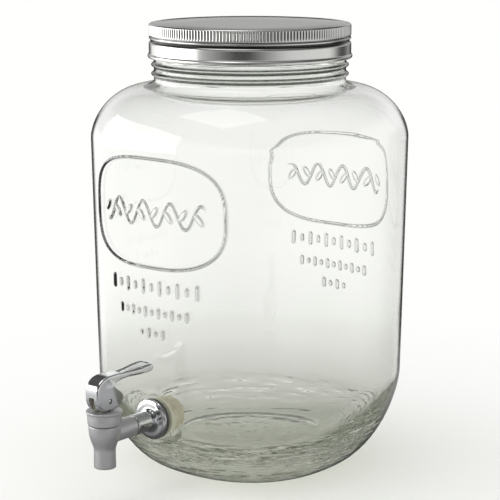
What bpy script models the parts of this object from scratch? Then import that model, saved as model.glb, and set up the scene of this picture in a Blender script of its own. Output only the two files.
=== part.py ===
"""Countertop dispenser jar: a pressed-glass jar with a metal screw lid and a cam-lever tap.

Metres, +Z up. The jar stands on z = 0 and its tap points along -Y. The origin is the middle
of the whole object's base, so the jar's own axis lies a little way along +Y.
"""

import math

import bmesh
import bpy
from mathutils import Vector

MM = 0.001
GAP = 0.3 * MM  # clearance between neighbouring pieces

# Jar: a soft-cornered square with a heavy heel, a round shoulder and a round neck.
JAR_HALF_SIDE = 110 * MM  # at the shoulder's foot
JAR_LOW_HALF_SIDE = 106.6 * MM  # at the heel's top
BASE_HALF_SIDE = 63.8 * MM
HEEL_TOP_Z = 69 * MM
HEEL_POWER = 1.6
SHOULDER_Z = 243 * MM
SHOULDER_TOP_Z = 278 * MM
SHOULDER_TOP_RADIUS = 77.5 * MM
BODY_POWER = 2.3  # superellipse exponent of the body's plan, 2 is a circle
WALL = 4.2 * MM
FLOOR_Z = 12 * MM  # inside of the base
FLOOR_HALF_SIDE = 56 * MM
PUNT_RISE = 4 * MM
PUNT_SLOPE = 12 * MM
FOOT_WIDTH = 12 * MM
HEEL_LOW_Z = 0.6 * MM
NECK_RADIUS = 69.2 * MM
NECK_BEAD_RADIUS = 71.2 * MM
NECK_BEADS_Z = (287 * MM, 293.5 * MM)
NECK_BEAD_FLAT = 0.9 * MM  # half the bead's flat crest
NECK_BEAD_FOOT = 2.2 * MM  # half the bead's foot
NECK_LOW_Z = 283 * MM  # where the fillet from the shoulder has met the neck
MOUTH_RADIUS = 63.5 * MM
RIM_Z = 319.9 * MM
RIM_EDGE = 1.2 * MM
JAR_SEGMENTS = 56

# Lid
LID_TOP_Z = 323 * MM
LID_RADIUS = 72.7 * MM
LID_CURL_RADIUS = 73.6 * MM
LID_SHEET = 0.9 * MM
LID_RECESS = 0.6 * MM
LINER_THICKNESS = 1.0 * MM
LINER_EDGE = 0.3 * MM
LID_SEGMENTS = 60

# Tap: distances named REACH are measured from the jar's axis.
TAP_Z = 53 * MM
BARREL_REACH = 157 * MM
HOLE_RADIUS = 7.6 * MM
PAD_REACH = 106.3 * MM  # flat outer face of the glass round the hole
PAD_INNER_REACH = 102 * MM
PAD_RADIUS = 18.5 * MM
POCKET_RADIUS = 15.5 * MM
INSIDE_REACH = 72 * MM  # inside the jar, clear of its wall
OUTSIDE_REACH = 120 * MM  # outside the jar, clear of its wall
SPOUT_Z = 30 * MM
SPOUT_RADIUS = 7.6 * MM
SPOUT_BORE = 5.2 * MM
CHAMBER_BORE = 7.8 * MM
SEAT_Z = 45.6 * MM
SEAT_SLOPE = 2.0  # rise of the valve seat's cone over its radius
BARREL_TOP_Z = 60.4 * MM
BARREL_RADIUS = 11.1 * MM
THREAD_NECK_RADIUS = 9.4 * MM
THREAD_NECK_TOP_Z = 66.1 * MM
BONNET_TOP_Z = 70.3 * MM
BONNET_RADIUS = 11.7 * MM
BONNET_LIP_RADIUS = 12.4 * MM
BONNET_BORE = 4.4 * MM
ARM_RADIUS = 6.5 * MM
SEAM_REACH = 125 * MM
FLOW_BORE = 4.0 * MM
SPIGOT_RADIUS = 5.1 * MM
SPIGOT_LENGTH = 9.5 * MM
SHANK_RADIUS = 6.9 * MM
SHANK_END_REACH = 86 * MM
THREAD_PITCH = 3.0 * MM
THREAD_DEPTH = 0.7 * MM
SHANK_THREADS = 5
SHANK_FILLET = 0.7 * MM
FLANGE_RADIUS = 14.5 * MM
FLANGE_THICKNESS = 2.6 * MM
OUTER_WASHER_THICKNESS = 2.0 * MM
OUTER_WASHER_RADIUS = 12.5 * MM
INNER_WASHER_THICKNESS = 2.5 * MM
INNER_WASHER_RADIUS = 14 * MM
NUT_HALF_FLATS = 12 * MM
NUT_THICKNESS = 8 * MM
TAP_SEGMENTS = 32

# Lever and valve: the lever's hub is a cam that rolls on the bonnet's top.
PIN_Z = 77.5 * MM
PIN_RADIUS = 1.5 * MM
PIN_HALF_LENGTH = 5.7 * MM
PIN_CLEARANCE = 0.25 * MM
LEVER_HALF_WIDTH = 6 * MM
LEVER_TRAVEL = math.radians(90)
VALVE_LIFT = 5.3 * MM
TONGUE_HALF_THICKNESS = 2.0 * MM
TONGUE_HALF_WIDTH = 3.5 * MM
STEM_RADIUS = 4.0 * MM
STEM_SHOULDER_Z = 64.8 * MM
STEM_FOOT_Z = 48.8 * MM
STEM_BUTTON_RADIUS = 5.0 * MM  # the stem's foot, which snaps into the cup
STEM_BUTTON_TOP_Z = 50.8 * MM
STEM_BUTTON_NECK_Z = 51.6 * MM
CUP_RADIUS = 6.9 * MM
CUP_FOLD_RADIUS = 5.9 * MM
CUP_FOLDS = 4
CUP_FOLD_Z = 54.5 * MM  # the lowest fold
CUP_FOLD_HEIGHT = 3.0 * MM
LEVER_BEVEL = 0.9 * MM
SLOT_CLEARANCE = 0.35 * MM  # beside the stem's tongue
TONGUE_CLEARANCE = 0.4 * MM  # over and behind the stem's tongue

CAM_LOW = PIN_Z - BONNET_TOP_Z - GAP  # pin to the cam's bottom with the tap shut
CAM_HIGH = CAM_LOW + VALVE_LIFT  # pin to the cam's front, which is down with the tap open

# The jar's axis, placed so that the whole object's box is centred on the origin.
FRONT_REACH = BARREL_REACH + max(BONNET_LIP_RADIUS, CAM_HIGH)
JAR_Y = (FRONT_REACH - JAR_HALF_SIDE) / 2


def clear_scene():
    for obj in list(bpy.data.objects):
        bpy.data.objects.remove(obj, do_unlink=True)


def material(name, colour, roughness, metallic=0.0, transmission=0.0):
    made = bpy.data.materials.new(name)
    made.use_nodes = True
    shader = made.node_tree.nodes["Principled BSDF"]
    shader.inputs["Base Color"].default_value = (*colour, 1.0)
    shader.inputs["Roughness"].default_value = roughness
    shader.inputs["Metallic"].default_value = metallic
    shader.inputs["Transmission Weight"].default_value = transmission
    return made


def empty(name, location, parent=None):
    made = bpy.data.objects.new(name, None)
    bpy.context.scene.collection.objects.link(made)
    made.location = location
    made.parent = parent
    return made


def mesh_object(name, bm, finish, parent, location=(0, 0, 0), rotation=(0, 0, 0)):
    bmesh.ops.recalc_face_normals(bm, faces=bm.faces)
    mesh = bpy.data.meshes.new(name)
    bm.to_mesh(mesh)
    bm.free()
    mesh.shade_smooth()
    mesh.set_sharp_from_angle(angle=math.radians(35))
    made = bpy.data.objects.new(name, mesh)
    bpy.context.scene.collection.objects.link(made)
    made.location = location
    made.rotation_euler = rotation
    made.parent = parent
    if finish:
        mesh.materials.append(finish)
    return made


def loft(rings, closed=False):
    """A closed surface through rings of points: capped at both ends, or joined end to end."""
    bm = bmesh.new()
    loops = [[bm.verts.new(point) for point in ring] for ring in rings]
    pairs = list(zip(loops, loops[1:]))
    if closed:
        pairs.append((loops[-1], loops[0]))
    for low, high in pairs:
        for i in range(len(low)):
            j = (i + 1) % len(low)
            bm.faces.new((low[i], low[j], high[j], high[i]))
    if not closed:
        bm.faces.new(loops[0])
        bm.faces.new(loops[-1])
    return bm


def circle(radius, z, segments):
    turn = math.tau / segments
    return [(radius * math.cos(i * turn), radius * math.sin(i * turn), z) for i in range(segments)]


def turned(profile, segments, closed=False):
    """The solid that a profile of (radius, height) points makes round Z."""
    return loft([circle(radius, z, segments) for radius, z in profile], closed)


def soft_square(half_side, power, z, segments=JAR_SEGMENTS):
    """A ring of points on a superellipse."""
    ring = []
    for i in range(segments):
        turn = math.tau * i / segments
        cos, sin = math.cos(turn), math.sin(turn)
        x = math.copysign(abs(cos) ** (2 / power), cos)
        y = math.copysign(abs(sin) ** (2 / power), sin)
        ring.append((half_side * x, half_side * y, z))
    return ring


def boolean(target, tool, operation="DIFFERENCE"):
    tool.hide_render = True
    tool.display_type = "WIRE"
    step = target.modifiers.new(tool.name, "BOOLEAN")
    step.operation = operation
    step.solver = "EXACT"
    step.object = tool


def quarter(start, end, power, steps, from_first=True):
    """Points of a superellipse quarter between two (radius, height) corners."""
    points = []
    for i in range(steps + 1):
        turn = math.pi / 2 * i / steps
        rise, run = math.sin(turn) ** (2 / power), math.cos(turn) ** (2 / power)
        across = 1 - run if from_first else rise
        up = rise if from_first else 1 - run
        points.append((start[0] + (end[0] - start[0]) * across, start[1] + (end[1] - start[1]) * up))
    return points


# Jar


def jar_outline(inset, heel_from, neck_radius, top_z):
    """(half side, height) points of the body, inset from the outer skin, from heel to neck top."""
    low = JAR_LOW_HALF_SIDE - inset
    high = JAR_HALF_SIDE - inset
    heel = quarter(heel_from, (low, HEEL_TOP_Z), HEEL_POWER, 8, from_first=False)
    shoulder_top = (SHOULDER_TOP_RADIUS - inset * 0.6, SHOULDER_TOP_Z - inset)
    shoulder = quarter((high, SHOULDER_Z - inset * 0.4), shoulder_top, 2.0, 6)
    middle = [(low + (high - low) * t, HEEL_TOP_Z + (SHOULDER_Z - HEEL_TOP_Z) * t) for t in (0.33, 0.67)]
    fillet = quarter(shoulder_top, (neck_radius, SHOULDER_TOP_Z + 5 * MM), 2.0, 3, from_first=False)
    return heel + middle + shoulder + fillet[1:] + [(neck_radius, top_z)]


def plan_power(z):
    """The plan is a soft square up to the shoulder, and a circle at its top."""
    share = min(max((z - SHOULDER_Z) / (SHOULDER_TOP_Z - SHOULDER_Z), 0), 1)
    return BODY_POWER + (2 - BODY_POWER) * share


def body_rings(points):
    return [soft_square(half_side, plan_power(z), z) for half_side, z in points]


def neck_beads():
    """The neck's outer skin: two beads that show below the lid, then the plain finish under it."""
    points = [(NECK_RADIUS, NECK_LOW_Z)]
    for z in NECK_BEADS_Z:
        points += [(NECK_RADIUS, z - NECK_BEAD_FOOT), (NECK_BEAD_RADIUS, z - NECK_BEAD_FLAT)]
        points += [(NECK_BEAD_RADIUS, z + NECK_BEAD_FLAT), (NECK_RADIUS, z + NECK_BEAD_FOOT)]
    points += [(NECK_RADIUS, RIM_Z - RIM_EDGE), (NECK_RADIUS - RIM_EDGE, RIM_Z)]
    return points


def jar_glass(finish, jar):
    """The outer skin with its foot and punt, hollowed, with a flat pad and a hole for the tap."""
    foot = [
        (BASE_HALF_SIDE - FOOT_WIDTH - PUNT_SLOPE, PUNT_RISE),
        (BASE_HALF_SIDE - FOOT_WIDTH, 0),
        (BASE_HALF_SIDE - 1 * MM, 0),
    ]
    outline = jar_outline(0, (BASE_HALF_SIDE, HEEL_LOW_Z), NECK_RADIUS, NECK_LOW_Z)
    glass = mesh_object("jar_glass", loft(body_rings(foot + outline[:-1] + neck_beads())), finish, jar)

    inner = jar_outline(WALL, (FLOOR_HALF_SIDE, FLOOR_Z + 1 * MM), MOUTH_RADIUS, RIM_Z + 9 * MM)
    hollow_rings = body_rings([(FLOOR_HALF_SIDE - 4 * MM, FLOOR_Z)] + inner)
    hollow = mesh_object("cut_jar_inside", loft(hollow_rings), None, jar)

    pad = tap_turned([(PAD_RADIUS, INSIDE_REACH), (PAD_RADIUS, PAD_REACH + 1 * MM)])
    trim_radius = PAD_RADIUS + 2 * MM
    trim = tap_turned([(trim_radius, PAD_REACH), (trim_radius, OUTSIDE_REACH)])
    pocket = tap_turned([(POCKET_RADIUS, INSIDE_REACH), (POCKET_RADIUS, PAD_INNER_REACH)])
    hole = tap_turned([(HOLE_RADIUS, INSIDE_REACH), (HOLE_RADIUS, OUTSIDE_REACH)])
    boolean(glass, along_tap("add_pad", pad, None, jar), "UNION")
    boolean(glass, hollow)
    boolean(glass, along_tap("cut_pad_face", trim, None, jar))
    boolean(glass, along_tap("cut_pocket", pocket, None, jar))
    boolean(glass, along_tap("cut_tap_hole", hole, None, jar))


# Lid


def lid_shell(finish, lid):
    """One drawn sheet: a rimmed top, a grooved skirt and a rolled lower edge."""
    drop = [  # (radius, height) down the outside
        (LID_RADIUS - 4.5 * MM, LID_TOP_Z - LID_RECESS),
        (LID_RADIUS - 3.5 * MM, LID_TOP_Z),
        (LID_RADIUS - 1.4 * MM, LID_TOP_Z),
        (LID_RADIUS, LID_TOP_Z - 1.4 * MM),
        (LID_RADIUS, LID_TOP_Z - 8.2 * MM),
        (LID_RADIUS - 0.5 * MM, LID_TOP_Z - 9.4 * MM),
        (LID_RADIUS - 0.1 * MM, LID_TOP_Z - 10.4 * MM),
        (LID_RADIUS - 0.9 * MM, LID_TOP_Z - 12.2 * MM),
        (LID_RADIUS, LID_TOP_Z - 13.8 * MM),
        (LID_RADIUS, LID_TOP_Z - 21 * MM),
        (LID_RADIUS + 0.1 * MM, LID_TOP_Z - 21.6 * MM),
        (LID_CURL_RADIUS, LID_TOP_Z - 22.4 * MM),
        (LID_CURL_RADIUS, LID_TOP_Z - 23.8 * MM),
        (LID_RADIUS - 0.2 * MM, LID_TOP_Z - 24.5 * MM),
    ]
    inside = LID_RADIUS - LID_SHEET
    under = LID_TOP_Z - LID_RECESS - LID_SHEET
    rise = [
        (inside, LID_TOP_Z - 23.8 * MM),
        (inside, LID_TOP_Z - 13.8 * MM),
        (inside - 0.9 * MM, LID_TOP_Z - 12.2 * MM),
        (inside, LID_TOP_Z - 10.4 * MM),
        (inside, under - 1 * MM),
        (inside - 1 * MM, under),
    ]
    mesh_object("lid_shell", turned(drop + rise, LID_SEGMENTS), finish, lid)


def lid_liner(finish, lid):
    top = LID_TOP_Z - LID_RECESS - LID_SHEET - GAP
    radius = LID_RADIUS - LID_SHEET - 1.2 * MM
    low = top - LINER_THICKNESS
    profile = [
        (radius - LINER_EDGE, low),
        (radius, low + LINER_EDGE),
        (radius, top - LINER_EDGE),
        (radius - LINER_EDGE, top),
    ]
    mesh_object("lid_liner", turned(profile, LID_SEGMENTS), finish, lid)


# Pieces turned round the tap's level axis: their heights are reaches from the jar's axis.


def tap_turned(profile, closed=False):
    return turned(profile, TAP_SEGMENTS, closed)


def along_tap(name, bm, finish, jar):
    """Lays a piece turned round Z along the tap's axis, pointing out of the jar."""
    return mesh_object(name, bm, finish, jar, (0, 0, TAP_Z), (math.pi / 2, 0, 0))


def ring_profile(inner, outer, low, high, edge=0.3 * MM):
    """A ring's closed section with its outer edges broken."""
    return [
        (inner, low),
        (outer - edge, low),
        (outer, low + edge),
        (outer, high - edge),
        (outer - edge, high),
        (inner, high),
    ]


def washers(dark_rubber, silicone, jar):
    bore = SHANK_RADIUS + GAP
    outer_low = PAD_REACH + GAP
    outer_ring = ring_profile(bore, OUTER_WASHER_RADIUS, outer_low, outer_low + OUTER_WASHER_THICKNESS)
    along_tap("outer_washer", tap_turned(outer_ring, closed=True), dark_rubber, jar)
    inner_high = PAD_INNER_REACH - GAP
    inner_ring = ring_profile(bore, INNER_WASHER_RADIUS, inner_high - INNER_WASHER_THICKNESS, inner_high)
    along_tap("inner_washer", tap_turned(inner_ring, closed=True), silicone, jar)


def tap_shank(finish, jar):
    """Threaded through the glass, with the flange outside it and a spigot into the barrel's arm."""
    flange_low = PAD_REACH + 2 * GAP + OUTER_WASHER_THICKNESS
    flange_high = flange_low + FLANGE_THICKNESS
    spigot_end = SEAM_REACH + SPIGOT_LENGTH
    outside = [(SHANK_RADIUS - THREAD_DEPTH, SHANK_END_REACH)]
    for i in range(SHANK_THREADS):
        crest = SHANK_END_REACH + (i + 0.5) * THREAD_PITCH
        outside += [(SHANK_RADIUS, crest), (SHANK_RADIUS - THREAD_DEPTH, crest + THREAD_PITCH / 2)]
    outside += [
        (SHANK_RADIUS, SHANK_END_REACH + (SHANK_THREADS + 0.5) * THREAD_PITCH),
        (SHANK_RADIUS, flange_low),
        (FLANGE_RADIUS - 0.6 * MM, flange_low),
        (FLANGE_RADIUS, flange_low + 0.6 * MM),
        (FLANGE_RADIUS - 0.8 * MM, flange_high - 0.7 * MM),
        (FLANGE_RADIUS - 3 * MM, flange_high),
        (ARM_RADIUS + SHANK_FILLET, flange_high),
        (ARM_RADIUS, flange_high + SHANK_FILLET),
        (ARM_RADIUS, SEAM_REACH - GAP),
        (SPIGOT_RADIUS, SEAM_REACH - GAP),
        (SPIGOT_RADIUS, spigot_end),
        (FLOW_BORE, spigot_end),
        (FLOW_BORE, SHANK_END_REACH),
    ]
    along_tap("tap_shank", tap_turned(outside, closed=True), finish, jar)


def lock_nut(finish, jar):
    """A hexagon nut on the shank inside the jar."""
    high = PAD_INNER_REACH - 2 * GAP - INNER_WASHER_THICKNESS
    low = high - NUT_THICKNESS

    def hexagon(half_flats, z):
        ring = []
        for x, y, _ in circle(1, 0, TAP_SEGMENTS):
            turn = math.atan2(y, x)
            from_flat = (turn + math.pi / 6) % (math.pi / 3) - math.pi / 6
            reach = half_flats / math.cos(from_flat)
            ring.append((reach * x, reach * y, z))
        return ring

    bore = SHANK_RADIUS + GAP
    rings = [
        circle(bore, low, TAP_SEGMENTS),
        circle(NUT_HALF_FLATS - 0.4 * MM, low, TAP_SEGMENTS),
        hexagon(NUT_HALF_FLATS, low + 1.2 * MM),
        hexagon(NUT_HALF_FLATS, high - 0.5 * MM),
        circle(NUT_HALF_FLATS, high, TAP_SEGMENTS),
        circle(bore, high, TAP_SEGMENTS),
    ]
    along_tap("lock_nut", loft(rings, closed=True), finish, jar)


# Pieces turned round the barrel's upright axis


def tap_body(finish, barrel):
    """The barrel with its spout, valve chamber and seat, and the arm that takes the shank."""
    outside = [
        (SPOUT_RADIUS - 0.4 * MM, SPOUT_Z),
        (SPOUT_RADIUS, SPOUT_Z + 0.4 * MM),
        (SPOUT_RADIUS - 0.1 * MM, 43 * MM),
        (8.0 * MM, 44.8 * MM),
        (9.0 * MM, 47.5 * MM),
        (10.0 * MM, 50.3 * MM),
        (10.7 * MM, 53.5 * MM),
        (BARREL_RADIUS - 0.1 * MM, 57 * MM),
        (BARREL_RADIUS, BARREL_TOP_Z),
        (THREAD_NECK_RADIUS, BARREL_TOP_Z),
        (THREAD_NECK_RADIUS, THREAD_NECK_TOP_Z),
    ]
    body = mesh_object("tap_body", turned(outside, TAP_SEGMENTS), finish, barrel)
    chamber_z = SEAT_Z + (CHAMBER_BORE - SPOUT_BORE) * SEAT_SLOPE
    bore = [
        (SPOUT_BORE, SPOUT_Z - 2 * MM),
        (SPOUT_BORE, SEAT_Z),
        (CHAMBER_BORE, chamber_z),
        (CHAMBER_BORE, THREAD_NECK_TOP_Z + 2 * MM),
    ]
    arm_length = BARREL_REACH - SEAM_REACH
    arm = [(ARM_RADIUS, 6 * MM), (ARM_RADIUS, arm_length)]
    socket = SPIGOT_RADIUS + GAP
    socket_depth = arm_length - SPIGOT_LENGTH - 0.5 * MM
    passage = [
        (FLOW_BORE, 1 * MM),
        (FLOW_BORE, socket_depth),
        (socket, socket_depth),
        (socket, arm_length + 2 * MM),
    ]
    back = (-math.pi / 2, 0, 0)
    at = (0, 0, TAP_Z)
    boolean(body, mesh_object("add_arm", turned(arm, TAP_SEGMENTS), None, barrel, at, back), "UNION")
    boolean(body, mesh_object("cut_bore", turned(bore, TAP_SEGMENTS), None, barrel))
    boolean(body, mesh_object("cut_passage", turned(passage, TAP_SEGMENTS), None, barrel, at, back))


def bonnet(finish, barrel):
    """The cap that holds the valve in: a skirt over the barrel's neck and a flat top for the cam."""
    skirt_low = BARREL_TOP_Z + GAP
    inside = THREAD_NECK_RADIUS + GAP + 0.2 * MM
    under = BONNET_TOP_Z - 2.1 * MM
    profile = [
        (inside, skirt_low),
        (BONNET_RADIUS - 0.3 * MM, skirt_low),
        (BONNET_RADIUS, BONNET_TOP_Z - 1.4 * MM),
        (BONNET_LIP_RADIUS, BONNET_TOP_Z - 1.0 * MM),
        (BONNET_LIP_RADIUS, BONNET_TOP_Z - 0.3 * MM),
        (BONNET_LIP_RADIUS - 0.3 * MM, BONNET_TOP_Z),
        (BONNET_BORE, BONNET_TOP_Z),
        (BONNET_BORE, under),
        (inside, under),
    ]
    mesh_object("bonnet", turned(profile, TAP_SEGMENTS, closed=True), finish, barrel)


def seat_cup(finish, barrel):
    """Silicone cup: a clamped rim, a folding sleeve round the stem, and the plug on the seat."""
    rim_top = BONNET_TOP_Z - 2.1 * MM - GAP
    rim_low = THREAD_NECK_TOP_Z + GAP
    sleeve = STEM_RADIUS + GAP
    plug_low = SEAT_Z + 0.1 * MM
    plug_chamfer = 2 * MM
    outside = [
        (CUP_RADIUS - plug_chamfer, plug_low),
        (CUP_RADIUS, plug_low + plug_chamfer * SEAT_SLOPE),
        (CUP_RADIUS, CUP_FOLD_Z - CUP_FOLD_HEIGHT / 2),
    ]
    for fold in range(CUP_FOLDS):
        low = CUP_FOLD_Z + fold * CUP_FOLD_HEIGHT
        outside += [(CUP_FOLD_RADIUS, low), (CUP_RADIUS, low + CUP_FOLD_HEIGHT / 2)]
    outside += [
        (CUP_FOLD_RADIUS + GAP, rim_low),
        (THREAD_NECK_RADIUS - 0.1 * MM, rim_low),
        (THREAD_NECK_RADIUS - 0.1 * MM, rim_top),
        (sleeve + GAP, rim_top),
    ]
    pocket = STEM_BUTTON_RADIUS + GAP
    pocket_top = STEM_BUTTON_TOP_Z + 2 * GAP
    inside = [
        (sleeve, pocket_top + pocket - sleeve),
        (pocket, pocket_top),
        (pocket, STEM_FOOT_Z - GAP),
    ]
    mesh_object("seat_cup", turned(outside + inside, TAP_SEGMENTS), finish, barrel)


def valve_stem(finish, barrel):
    """Round in the sleeve with a button at its foot, and a flat tongue that the lever straddles."""
    edge = 0.4 * MM
    profile = [
        (STEM_BUTTON_RADIUS - edge, STEM_FOOT_Z),
        (STEM_BUTTON_RADIUS, STEM_FOOT_Z + edge),
        (STEM_BUTTON_RADIUS, STEM_BUTTON_TOP_Z),
        (STEM_RADIUS, STEM_BUTTON_NECK_Z),
        (STEM_RADIUS, STEM_SHOULDER_Z),
    ]
    stem = mesh_object("valve_stem", turned(profile, TAP_SEGMENTS), finish, barrel)
    low = STEM_SHOULDER_Z - 2 * MM
    outline = [(TONGUE_HALF_WIDTH, low), (TONGUE_HALF_WIDTH, PIN_Z)]
    for i in range(1, 12):
        turn = math.pi * i / 12
        outline.append((TONGUE_HALF_WIDTH * math.cos(turn), PIN_Z + TONGUE_HALF_WIDTH * math.sin(turn)))
    outline += [(-TONGUE_HALF_WIDTH, PIN_Z), (-TONGUE_HALF_WIDTH, low)]
    tongue = loft([[(x, y, z) for y, z in outline] for x in (-TONGUE_HALF_THICKNESS, TONGUE_HALF_THICKNESS)])
    boolean(stem, mesh_object("add_tongue", tongue, None, barrel), "UNION")
    boolean(stem, cross_pin("cut_stem_hole", PIN_RADIUS + PIN_CLEARANCE, 8 * MM, None, barrel, PIN_Z))


def cross_pin(name, radius, half_length, finish, parent, z=0.0):
    """A cylinder along X, centred on the parent's axis."""
    bm = turned([(radius, -half_length), (radius, half_length)], 20)
    return mesh_object(name, bm, finish, parent, (0, 0, z), (0, math.pi / 2, 0))


# Lever


def cam_points():
    """From the hub's bottom round to its front: the support grows evenly with the turn."""
    growth = VALVE_LIFT / LEVER_TRAVEL
    points = []
    for i in range(9):
        turn = LEVER_TRAVEL * i / 8
        support = CAM_LOW + growth * turn
        y = -support * math.sin(turn) - growth * math.cos(turn)
        z = -support * math.cos(turn) + growth * math.sin(turn)
        points.append(Vector((y, z)))
    return points


def lever_outline():
    """Side view about the pin, as (along, up): cam, front, arch, blade, tip, hub's back."""
    arch = [(-12.2, 8.6), (-11.4, 11.5), (-9.2, 14.2), (-5.6, 16.4), (-0.5, 17.4)]
    blade_top = [(10, 17.2), (20, 17.2), (30, 17.9), (39, 18.4), (44, 17.9)]
    tip = [(46, 16.6), (46.3, 15.2), (45.2, 13.6)]
    blade_under = [(40, 12.4), (30, 12.2), (20, 12.3), (11, 11.9), (5, 10.4)]
    hub_back = [(6.4, 9.0), (10.5, 6.2), (13.4, 3.2), (14.1, 0.4), (12.8, -2.8), (9.2, -5.4), (4.6, -6.8)]
    drawn = arch + blade_top + tip + blade_under + hub_back
    return cam_points() + [Vector(point) * MM for point in drawn]


def lever(finish, pin_finish, pivot):
    """Handle and forked cam hub in one piece, cut out for the stem's tongue and the pin."""
    outline = lever_outline()
    sides = (-LEVER_HALF_WIDTH, LEVER_HALF_WIDTH)
    bm = loft([[(x, point.x, point.y) for point in outline] for x in sides])
    edges = [edge for edge in bm.edges if abs(edge.verts[0].co.x - edge.verts[1].co.x) < 1e-6]
    bmesh.ops.bevel(bm, geom=edges, offset=LEVER_BEVEL, segments=2, profile=0.6, affect="EDGES")
    made = mesh_object("lever", bm, finish, pivot)

    clear = TONGUE_HALF_WIDTH + TONGUE_CLEARANCE
    half_slot = TONGUE_HALF_THICKNESS + SLOT_CLEARANCE
    far = 20 * MM
    outline = [(-far, -far), (clear, -far), (clear, clear), (-far, clear)]
    slot = loft([[(x, y, z) for y, z in outline] for x in (-half_slot, half_slot)])
    boolean(made, mesh_object("cut_slot", slot, None, pivot))
    boolean(made, cross_pin("cut_lever_hole", PIN_RADIUS + PIN_CLEARANCE, 10 * MM, None, pivot))
    cross_pin("lever_pin", PIN_RADIUS, PIN_HALF_LENGTH, pin_finish, pivot)


def build():
    clear_scene()
    glass = material("clear_glass", (0.86, 0.92, 0.88), 0.03, transmission=1.0)
    satin = material("satin_metal", (0.62, 0.62, 0.61), 0.35, 1.0)
    silicone = material("silicone", (0.78, 0.74, 0.62), 0.6)
    dark_rubber = material("dark_rubber", (0.07, 0.07, 0.065), 0.55)
    silver = material("silver_plastic", (0.55, 0.56, 0.58), 0.38, 0.6)
    chrome = material("chrome", (0.85, 0.86, 0.88), 0.06, 1.0)
    cream = material("cream_plastic", (0.82, 0.78, 0.64), 0.45)
    white = material("liner_foam", (0.88, 0.88, 0.85), 0.6)
    steel = material("pin_steel", (0.6, 0.6, 0.6), 0.3, 1.0)

    jar = empty("jar_axis", (0, JAR_Y, 0))
    lid = empty("lid_axis", (0, 0, 0), jar)
    barrel = empty("barrel_axis", (0, -BARREL_REACH, 0), jar)
    pivot = empty("lever_pivot", (0, 0, PIN_Z), barrel)

    jar_glass(glass, jar)
    lid_shell(satin, lid)
    lid_liner(white, lid)
    washers(dark_rubber, silicone, jar)
    tap_shank(chrome, jar)
    lock_nut(cream, jar)
    tap_body(silver, barrel)
    bonnet(silver, barrel)
    seat_cup(silicone, barrel)
    valve_stem(cream, barrel)
    lever(chrome, steel, pivot)


build()
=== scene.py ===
import math

import bmesh
import bpy
import numpy as np
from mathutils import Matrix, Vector


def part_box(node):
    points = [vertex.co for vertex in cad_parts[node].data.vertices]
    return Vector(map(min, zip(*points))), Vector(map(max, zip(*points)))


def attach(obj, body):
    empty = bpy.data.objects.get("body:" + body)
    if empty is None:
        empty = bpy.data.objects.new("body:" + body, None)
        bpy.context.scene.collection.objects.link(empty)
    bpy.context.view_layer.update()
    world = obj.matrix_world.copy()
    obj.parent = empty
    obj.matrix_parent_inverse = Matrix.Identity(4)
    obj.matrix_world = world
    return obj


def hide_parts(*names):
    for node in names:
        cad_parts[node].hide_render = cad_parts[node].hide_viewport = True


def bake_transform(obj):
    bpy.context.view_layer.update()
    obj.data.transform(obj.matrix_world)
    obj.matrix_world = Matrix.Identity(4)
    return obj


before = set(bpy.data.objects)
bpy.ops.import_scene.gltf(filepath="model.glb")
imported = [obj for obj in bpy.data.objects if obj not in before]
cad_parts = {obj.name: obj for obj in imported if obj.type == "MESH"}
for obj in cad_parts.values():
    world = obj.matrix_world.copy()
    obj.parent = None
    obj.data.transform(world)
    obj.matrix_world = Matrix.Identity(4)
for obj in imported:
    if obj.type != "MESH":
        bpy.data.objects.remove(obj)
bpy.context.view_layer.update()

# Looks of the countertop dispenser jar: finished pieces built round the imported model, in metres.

MM = 0.001


# Places, read from the frame

jar_low, jar_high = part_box("jar_glass")
shank_low, shank_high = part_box("tap_shank")
bonnet_low, bonnet_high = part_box("bonnet")
pin_low, pin_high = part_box("lever_pin")
SPOUT_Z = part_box("tap_body")[0].z

JAR_AXIS = Vector((0, (jar_low.y + jar_high.y) / 2, 0))
BARREL_AXIS = Vector((0, (bonnet_low.y + bonnet_high.y) / 2, 0))
PIN = (pin_low + pin_high) / 2
ORIGIN = Vector((0, 0, 0))
TAP_Z = (shank_low.z + shank_high.z) / 2
LID_TOP_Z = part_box("lid_shell")[1].z
RIM_Z = jar_high.z
BARREL_REACH = JAR_AXIS.y - BARREL_AXIS.y


# Small tools


def smoothed(mesh, angle):
    """Shades a mesh smooth, but not over edges sharper than an angle in degrees."""
    mesh.shade_smooth()
    mesh.set_sharp_from_angle(angle=math.radians(angle))
    return mesh


def new_object(name, verts, faces, smooth_angle=40):
    mesh = bpy.data.meshes.new(name)
    mesh.from_pydata([tuple(v) for v in verts], [], [tuple(f) for f in faces])
    bm = bmesh.new()
    bm.from_mesh(mesh)
    bmesh.ops.recalc_face_normals(bm, faces=bm.faces)
    bm.to_mesh(mesh)
    bm.free()
    made = bpy.data.objects.new(name, smoothed(mesh, smooth_angle))
    bpy.context.scene.collection.objects.link(made)
    return made


def applied(obj, smooth_angle=40):
    """Applies the object's modifiers to its mesh."""
    bpy.context.view_layer.update()
    depsgraph = bpy.context.evaluated_depsgraph_get()
    mesh = bpy.data.meshes.new_from_object(obj.evaluated_get(depsgraph))
    obj.modifiers.clear()
    obj.data = smoothed(mesh, smooth_angle)


def cut(obj, tools, smooth_angle=40, operation="DIFFERENCE"):
    """Takes each tool away from the object, or adds it, and deletes the tools."""
    for tool in tools:
        step = obj.modifiers.new(tool.name, "BOOLEAN")
        step.operation = operation
        step.solver = "EXACT"
        step.object = tool
    applied(obj, smooth_angle)
    for tool in tools:
        bpy.data.objects.remove(tool)


def placed(obj, to_world):
    """Moves the mesh's points with a function, so that the object itself stays at the origin."""
    for vertex in obj.data.vertices:
        vertex.co = to_world(vertex.co)
    obj.data.update()
    return obj


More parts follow.
